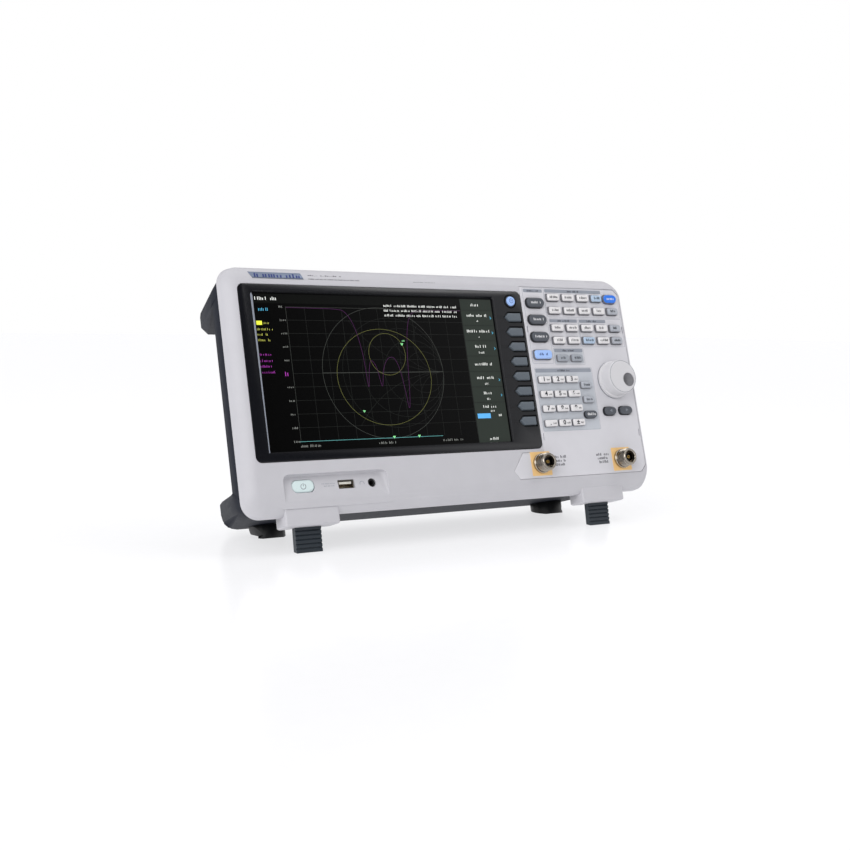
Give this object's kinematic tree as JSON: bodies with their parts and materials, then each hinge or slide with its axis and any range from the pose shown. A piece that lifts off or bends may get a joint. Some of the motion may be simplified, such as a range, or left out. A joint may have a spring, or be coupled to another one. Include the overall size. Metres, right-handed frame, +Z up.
{
  "type": "spectrum analyzer",
  "caption": "Portable bench spectrum and network analyzer with a large screen, softkeys, number keys, tuning knob and RF connectors, tilted back on fold-out front legs.",
  "frame": {"origin": "on the floor under the middle of the object's box, standing tilted back on its legs", "axes": "+X to the user's right along the panel, +Y from the front towards the back, +Z up"},
  "size_m": [0.3936, 0.1735, 0.2186],
  "materials": {
    "bezel_plastic": "fine moulded texture, light grey",
    "blue_key": "silicone keycap, blue",
    "board_green": "green circuit board laminate",
    "dark_key": "silicone keycap, dark grey",
    "foot_rubber": "matt black",
    "grey_key": "silicone keycap, blue-grey",
    "knob_plastic": "satin, light warm grey",
    "leg_plastic": "ribbed moulding, dark grey",
    "nickel": "bright nickel plating",
    "pale_blue_key": "translucent silicone, light blue",
    "power_key": "translucent silicone, pale green-grey",
    "screen_glass": "coated display glass over a lit screen",
    "sheet_steel": "plain galvanised sheet",
    "slate_plastic": "fine moulded texture, slate grey",
    "socket_black": "black moulding",
    "soft_key": "satin, mid grey",
    "surround_plastic": "satin, near black",
    "white_key": "silicone keycap, off-white",
    "module_box": "folded aluminium box, mostly hollow inside"
  },
  "bodies": {
    "case": {"bnc_reference_in": "nickel", "bnc_reference_out": "nickel", "bnc_trigger": "nickel", "chassis": "sheet_steel", "display_glass": "screen_glass", "display_module": "module_box", "encoder": "socket_black", "fan_frame": "socket_black", "front_bezel": "bezel_plastic", "handle_pin_left": "nickel", "handle_pin_right": "nickel", "headphone_jack": "socket_black", "key_board": "board_green", "keypad_panel": "bezel_plastic", "lan_socket": "sheet_steel", "main_board": "board_green", "mains_inlet": "socket_black", "n_connector_left": "nickel", "n_connector_right": "nickel", "power_supply": "module_box", "rear_foot_left": "foot_rubber", "rear_foot_right": "foot_rubber", "rear_panel": "sheet_steel", "rear_shell": "slate_plastic", "rf_module": "module_box", "screen_surround": "surround_plastic", "speaker": "socket_black", "usb_device_socket": "sheet_steel", "usb_socket": "nickel"},
    "amplitude_key": {"amplitude_key": "dark_key"},
    "arrow_key_left": {"arrow_key_left": "dark_key"},
    "arrow_key_right": {"arrow_key_right": "dark_key"},
    "auto_tune_key": {"auto_tune_key": "pale_blue_key"},
    "back_key": {"back_key": "grey_key"},
    "enter_key": {"enter_key": "dark_key"},
    "escape_key": {"escape_key": "grey_key"},
    "frequency_key": {"frequency_key": "dark_key"},
    "marker_function_keys_lower": {"marker_function_keys_lower": "white_key"},
    "marker_function_keys_upper": {"marker_function_keys_upper": "white_key"},
    "measure_keys": {"measure_keys": "grey_key"},
    "number_keys": {"number_keys": "white_key"},
    "power_button": {"power_button": "power_key"},
    "preset_key": {"preset_key": "blue_key"},
    "screen_button": {"screen_button": "pale_blue_key"},
    "setting_keys_lower": {"setting_keys_lower": "white_key"},
    "setting_keys_upper": {"setting_keys_upper": "white_key"},
    "softkey_1": {"softkey_1": "soft_key"},
    "softkey_2": {"softkey_2": "soft_key"},
    "softkey_3": {"softkey_3": "soft_key"},
    "softkey_4": {"softkey_4": "soft_key"},
    "softkey_5": {"softkey_5": "soft_key"},
    "softkey_6": {"softkey_6": "soft_key"},
    "softkey_7": {"softkey_7": "soft_key"},
    "softkey_8": {"softkey_8": "soft_key"},
    "span_key": {"span_key": "dark_key"},
    "tuning_knob": {"tuning_knob": "knob_plastic"},
    "fan_rotor": {"fan_rotor": "socket_black"},
    "carrying_handle": {"carrying_handle": "slate_plastic"},
    "front_leg_left": {"front_leg_left": "leg_plastic"},
    "front_leg_right": {"front_leg_right": "leg_plastic"}
  },
  "joints": [
    {"name": "amplitude_key_press", "type": "slide", "parent": "case", "child": "amplitude_key", "axis": [0, 0.9583, -0.2857], "range_m": [0, 0.001], "stiffness_N_per_m": 600},
    {"name": "arrow_key_left_press", "type": "slide", "parent": "case", "child": "arrow_key_left", "axis": [0, 0.9583, -0.2857], "range_m": [0, 0.001], "stiffness_N_per_m": 600},
    {"name": "arrow_key_right_press", "type": "slide", "parent": "case", "child": "arrow_key_right", "axis": [0, 0.9583, -0.2857], "range_m": [0, 0.001], "stiffness_N_per_m": 600},
    {"name": "auto_tune_key_press", "type": "slide", "parent": "case", "child": "auto_tune_key", "axis": [0, 0.9583, -0.2857], "range_m": [0, 0.001], "stiffness_N_per_m": 600},
    {"name": "back_key_press", "type": "slide", "parent": "case", "child": "back_key", "axis": [0, 0.9583, -0.2857], "range_m": [0, 0.001], "stiffness_N_per_m": 600},
    {"name": "enter_key_press", "type": "slide", "parent": "case", "child": "enter_key", "axis": [0, 0.9583, -0.2857], "range_m": [0, 0.001], "stiffness_N_per_m": 600},
    {"name": "escape_key_press", "type": "slide", "parent": "case", "child": "escape_key", "axis": [0, 0.9583, -0.2857], "range_m": [0, 0.001], "stiffness_N_per_m": 600},
    {"name": "frequency_key_press", "type": "slide", "parent": "case", "child": "frequency_key", "axis": [0, 0.9583, -0.2857], "range_m": [0, 0.001], "stiffness_N_per_m": 600},
    {"name": "marker_function_keys_lower_press", "type": "slide", "parent": "case", "child": "marker_function_keys_lower", "axis": [0, 0.9583, -0.2857], "range_m": [0, 0.001], "stiffness_N_per_m": 600},
    {"name": "marker_function_keys_upper_press", "type": "slide", "parent": "case", "child": "marker_function_keys_upper", "axis": [0, 0.9583, -0.2857], "range_m": [0, 0.001], "stiffness_N_per_m": 600},
    {"name": "measure_keys_press", "type": "slide", "parent": "case", "child": "measure_keys", "axis": [0, 0.9583, -0.2857], "range_m": [0, 0.001], "stiffness_N_per_m": 600},
    {"name": "number_keys_press", "type": "slide", "parent": "case", "child": "number_keys", "axis": [0, 0.9583, -0.2857], "range_m": [0, 0.001], "stiffness_N_per_m": 600},
    {"name": "power_button_press", "type": "slide", "parent": "case", "child": "power_button", "axis": [0, 0.9583, -0.2857], "range_m": [0, 0.001], "stiffness_N_per_m": 600},
    {"name": "preset_key_press", "type": "slide", "parent": "case", "child": "preset_key", "axis": [0, 0.9583, -0.2857], "range_m": [0, 0.001], "stiffness_N_per_m": 600},
    {"name": "screen_button_press", "type": "slide", "parent": "case", "child": "screen_button", "axis": [0, 0.9583, -0.2857], "range_m": [0, 0.001], "stiffness_N_per_m": 600},
    {"name": "setting_keys_lower_press", "type": "slide", "parent": "case", "child": "setting_keys_lower", "axis": [0, 0.9583, -0.2857], "range_m": [0, 0.001], "stiffness_N_per_m": 600},
    {"name": "setting_keys_upper_press", "type": "slide", "parent": "case", "child": "setting_keys_upper", "axis": [0, 0.9583, -0.2857], "range_m": [0, 0.001], "stiffness_N_per_m": 600},
    {"name": "softkey_1_press", "type": "slide", "parent": "case", "child": "softkey_1", "axis": [0, 0.9583, -0.2857], "range_m": [0, 0.001], "stiffness_N_per_m": 600},
    {"name": "softkey_2_press", "type": "slide", "parent": "case", "child": "softkey_2", "axis": [0, 0.9583, -0.2857], "range_m": [0, 0.001], "stiffness_N_per_m": 600},
    {"name": "softkey_3_press", "type": "slide", "parent": "case", "child": "softkey_3", "axis": [0, 0.9583, -0.2857], "range_m": [0, 0.001], "stiffness_N_per_m": 600},
    {"name": "softkey_4_press", "type": "slide", "parent": "case", "child": "softkey_4", "axis": [0, 0.9583, -0.2857], "range_m": [0, 0.001], "stiffness_N_per_m": 600},
    {"name": "softkey_5_press", "type": "slide", "parent": "case", "child": "softkey_5", "axis": [0, 0.9583, -0.2857], "range_m": [0, 0.001], "stiffness_N_per_m": 600},
    {"name": "softkey_6_press", "type": "slide", "parent": "case", "child": "softkey_6", "axis": [0, 0.9583, -0.2857], "range_m": [0, 0.001], "stiffness_N_per_m": 600},
    {"name": "softkey_7_press", "type": "slide", "parent": "case", "child": "softkey_7", "axis": [0, 0.9583, -0.2857], "range_m": [0, 0.001], "stiffness_N_per_m": 600},
    {"name": "softkey_8_press", "type": "slide", "parent": "case", "child": "softkey_8", "axis": [0, 0.9583, -0.2857], "range_m": [0, 0.001], "stiffness_N_per_m": 600},
    {"name": "span_key_press", "type": "slide", "parent": "case", "child": "span_key", "axis": [0, 0.9583, -0.2857], "range_m": [0, 0.001], "stiffness_N_per_m": 600},
    {"name": "tuning_knob_turn", "type": "hinge", "parent": "case", "child": "tuning_knob", "pos_m": [0.172, -0.05158, 0.12784], "axis": [0, 0.9583, -0.2857], "continuous": true},
    {"name": "fan_spin", "type": "hinge", "parent": "case", "child": "fan_rotor", "pos_m": [0.088, -0.04801, 0.13981], "axis": [0, 0.9583, -0.2857], "continuous": true},
    {"name": "handle_fold", "type": "hinge", "parent": "case", "child": "carrying_handle", "pos_m": [0, 0.02354, 0.19779], "axis": [1, 0, 0], "range_deg": [0, 95]},
    {"name": "leg_fold_left", "type": "hinge", "parent": "case", "child": "front_leg_left", "pos_m": [-0.1318, -0.06729, 0.02264], "axis": [1, 0, 0], "range_deg": [0, 83]},
    {"name": "leg_fold_right", "type": "hinge", "parent": "case", "child": "front_leg_right", "pos_m": [0.1318, -0.06729, 0.02264], "axis": [1, 0, 0], "range_deg": [0, 83]}
  ]
}
